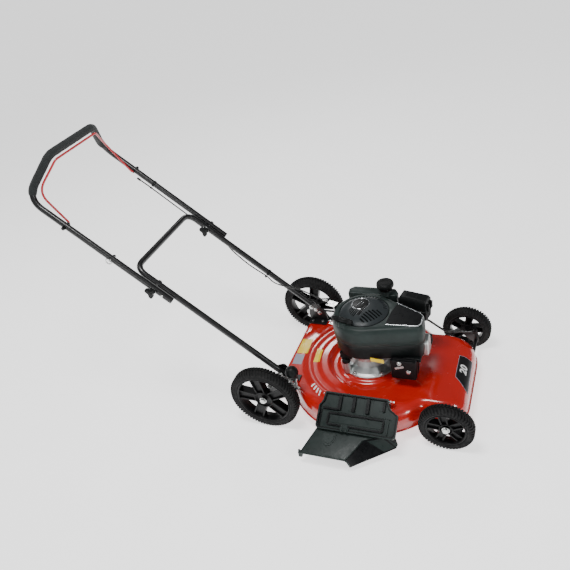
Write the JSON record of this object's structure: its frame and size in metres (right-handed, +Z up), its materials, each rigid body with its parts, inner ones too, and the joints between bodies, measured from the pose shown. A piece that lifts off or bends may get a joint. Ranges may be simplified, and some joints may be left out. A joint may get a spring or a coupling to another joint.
{
  "type": "walk-behind rotary lawn mower",
  "caption": "Push rotary lawn mower with a stamped steel side-discharge deck, vertical-shaft engine, high rear wheels and a folding tube handle with a brake bail.",
  "frame": {"origin": "ground point under the middle of the machine's outline", "axes": "+X forward, +Y to the mower's left, +Z up"},
  "size_m": [1.4588, 0.7243, 1.0044],
  "materials": {
    "red_paint": "gloss",
    "black_paint": "satin gloss",
    "black_plastic": "moulded, satin",
    "engine_plastic": "moulded, satin",
    "tyre_rubber": "matt moulded rubber",
    "grip_foam": "matt foam",
    "zinc_steel": "bright zinc plate",
    "cast_alloy": "die cast",
    "blade_steel": "hardened, dark",
    "red_rod": "satin"
  },
  "bodies": {
    "chassis": {"deck": "red_paint", "left_handle_bracket": "black_paint", "right_handle_bracket": "black_paint", "height_quadrant": "zinc_steel", "cover_hinge_rod": "zinc_steel", "lower_handle": "black_paint", "left_fold_bolt": "zinc_steel", "right_fold_bolt": "zinc_steel", "crankcase": "cast_alloy", "cylinder_block": "cast_alloy", "engine_shroud": "engine_plastic", "recoil_housing": "black_plastic", "fuel_tank": "engine_plastic", "air_filter_base": "black_plastic", "air_filter_element": "grip_foam", "carburettor": "cast_alloy", "muffler": "black_paint", "spark_plug": "zinc_steel", "spark_plug_cap": "black_plastic", "brake_cable_bracket": "zinc_steel", "brake_cable_lower": "black_plastic"},
    "front_axle": {"front_axle": "zinc_steel", "front_left_wheel_nut": "zinc_steel", "front_right_wheel_nut": "zinc_steel"},
    "rear_axle": {"rear_axle": "zinc_steel", "height_lever": "zinc_steel", "height_lever_knob": "black_plastic", "rear_left_wheel_nut": "zinc_steel", "rear_right_wheel_nut": "zinc_steel"},
    "height_link": {"height_link_rod": "black_paint"},
    "front_left_wheel": {"front_left_tyre": "tyre_rubber", "front_left_wheel_hub": "black_plastic"},
    "front_right_wheel": {"front_right_tyre": "tyre_rubber", "front_right_wheel_hub": "black_plastic"},
    "rear_left_wheel": {"rear_left_tyre": "tyre_rubber", "rear_left_wheel_hub": "black_plastic"},
    "rear_right_wheel": {"rear_right_tyre": "tyre_rubber", "rear_right_wheel_hub": "black_plastic"},
    "crankshaft": {"crankshaft": "zinc_steel", "flywheel": "cast_alloy", "blade_adapter": "blade_steel", "blade": "blade_steel", "blade_bolt": "zinc_steel"},
    "starter_grip": {"starter_grip": "black_plastic"},
    "recoil_pulley": {"recoil_pulley": "black_plastic"},
    "upper_handle": {"upper_handle": "black_paint", "foam_grip": "grip_foam", "brake_cable_upper": "black_plastic", "rope_guide": "zinc_steel"},
    "bail": {"bail": "red_rod"},
    "brake_lever": {"brake_lever": "zinc_steel"},
    "left_wing_knob": {"left_wing_knob": "black_plastic"},
    "right_wing_knob": {"right_wing_knob": "black_plastic"},
    "discharge_chute": {"discharge_chute": "black_plastic"},
    "discharge_cover": {"discharge_cover": "black_plastic"},
    "cover_latch": {"cover_latch": "black_plastic"},
    "fuel_cap": {"fuel_cap": "black_plastic"},
    "oil_filler_cap": {"oil_filler_cap": "black_plastic"},
    "air_filter_cover": {"air_filter_cover": "black_plastic"},
    "trailing_shield": {"trailing_shield": "black_plastic"}
  },
  "joints": [
    {"name": "cutting_height", "type": "hinge", "parent": "chassis", "child": "rear_axle", "pos_m": [0.055, 0.062, 0.095], "axis": [0, 1, 0], "range_deg": [-33, 31]},
    {"name": "front_axle_turn", "type": "hinge", "parent": "chassis", "child": "front_axle", "pos_m": [0.676, 0.062, 0.057], "axis": [0, 1, 0], "range_deg": [-33, 31]},
    {"name": "height_link_turn", "type": "hinge", "parent": "rear_axle", "child": "height_link", "pos_m": [0.05, 0.2765, 0.14], "axis": [0, 1, 0], "range_deg": [-31, 33]},
    {"name": "front_left_wheel_spin", "type": "hinge", "parent": "front_axle", "child": "front_left_wheel", "pos_m": [0.64, 0.315, 0.089], "axis": [0, 1, 0], "continuous": true},
    {"name": "front_right_wheel_spin", "type": "hinge", "parent": "front_axle", "child": "front_right_wheel", "pos_m": [0.64, -0.191, 0.089], "axis": [0, 1, 0], "continuous": true},
    {"name": "rear_left_wheel_spin", "type": "hinge", "parent": "rear_axle", "child": "rear_left_wheel", "pos_m": [0.019, 0.337, 0.127], "axis": [0, 1, 0], "continuous": true},
    {"name": "rear_right_wheel_spin", "type": "hinge", "parent": "rear_axle", "child": "rear_right_wheel", "pos_m": [0.019, -0.213, 0.127], "axis": [0, 1, 0], "continuous": true},
    {"name": "crankshaft_spin", "type": "hinge", "parent": "chassis", "child": "crankshaft", "pos_m": [0.335, 0.043, 0.16], "axis": [0, 0, 1], "continuous": true},
    {"name": "starter_pull", "type": "slide", "parent": "chassis", "child": "starter_grip", "axis": [-0.9115, -0.1859, 0.3668], "range_m": [0, 0.5], "stiffness_N_per_m": 20, "springref_m": -0.5},
    {"name": "recoil_pulley_spin", "type": "hinge", "parent": "chassis", "child": "recoil_pulley", "pos_m": [0.335, 0.043, 0.327], "axis": [0, 0, 1], "continuous": true},
    {"name": "handle_fold", "type": "hinge", "parent": "chassis", "child": "upper_handle", "pos_m": [-0.3393, 0.062, 0.52969], "axis": [0, 1, 0], "range_deg": [0, 135]},
    {"name": "bail_swing", "type": "hinge", "parent": "upper_handle", "child": "bail", "pos_m": [-0.61394, 0.062, 0.77011], "axis": [0, 1, 0], "range_deg": [0, 35]},
    {"name": "brake_lever_swing", "type": "hinge", "parent": "chassis", "child": "brake_lever", "pos_m": [0.21233, 0.07587, 0.245], "axis": [0, 0, 1], "range_deg": [0, 20]},
    {"name": "left_wing_knob_spin", "type": "hinge", "parent": "chassis", "child": "left_wing_knob", "pos_m": [-0.3393, 0.232, 0.52969], "axis": [0, 1, 0], "continuous": true},
    {"name": "right_wing_knob_spin", "type": "hinge", "parent": "chassis", "child": "right_wing_knob", "pos_m": [-0.3393, -0.181, 0.52969], "axis": [0, 1, 0], "continuous": true},
    {"name": "chute_swing", "type": "hinge", "parent": "chassis", "child": "discharge_chute", "pos_m": [0.34, -0.162, 0.136], "axis": [-1, 0, 0], "range_deg": [0, 35]},
    {"name": "cover_swing", "type": "hinge", "parent": "discharge_chute", "child": "discharge_cover", "pos_m": [0.34, -0.162, 0.136], "axis": [-1, 0, 0], "range_deg": [0, 60], "stiffness_Nm_per_rad": 0.2, "springref_deg": -57.3},
    {"name": "cover_latch_swing", "type": "hinge", "parent": "discharge_cover", "child": "cover_latch", "pos_m": [0.34, -0.26155, 0.08988], "axis": [-1, 0, 0], "range_deg": [0, 20], "stiffness_Nm_per_rad": 0.02, "springref_deg": -28.65},
    {"name": "fuel_cap_turn", "type": "hinge", "parent": "chassis", "child": "fuel_cap", "pos_m": [0.379, 0.177, 0.36], "axis": [0, 0, 1], "continuous": true},
    {"name": "oil_filler_cap_turn", "type": "hinge", "parent": "chassis", "child": "oil_filler_cap", "pos_m": [0.272, -0.033, 0.18], "axis": [0, 0, 1], "continuous": true},
    {"name": "air_filter_cover_swing", "type": "hinge", "parent": "chassis", "child": "air_filter_cover", "pos_m": [0.49289, 0.17353, 0.29715], "axis": [-0.9744, 0.225, 0], "range_deg": [0, 60]},
    {"name": "trailing_shield_swing", "type": "hinge", "parent": "chassis", "child": "trailing_shield", "pos_m": [0.0225, 0.062, 0.078], "axis": [0, 1, 0], "range_deg": [0, 60]}
  ],
  "couplings": [
    {"joint": "front_axle_turn", "follows": "cutting_height", "ratio": 1},
    {"joint": "height_link_turn", "follows": "cutting_height", "ratio": -1},
    {"joint": "recoil_pulley_spin", "follows": "starter_pull", "rad_per_m": 28.57},
    {"joint": "brake_lever_swing", "follows": "bail_swing", "ratio": 0.57}
  ]
}
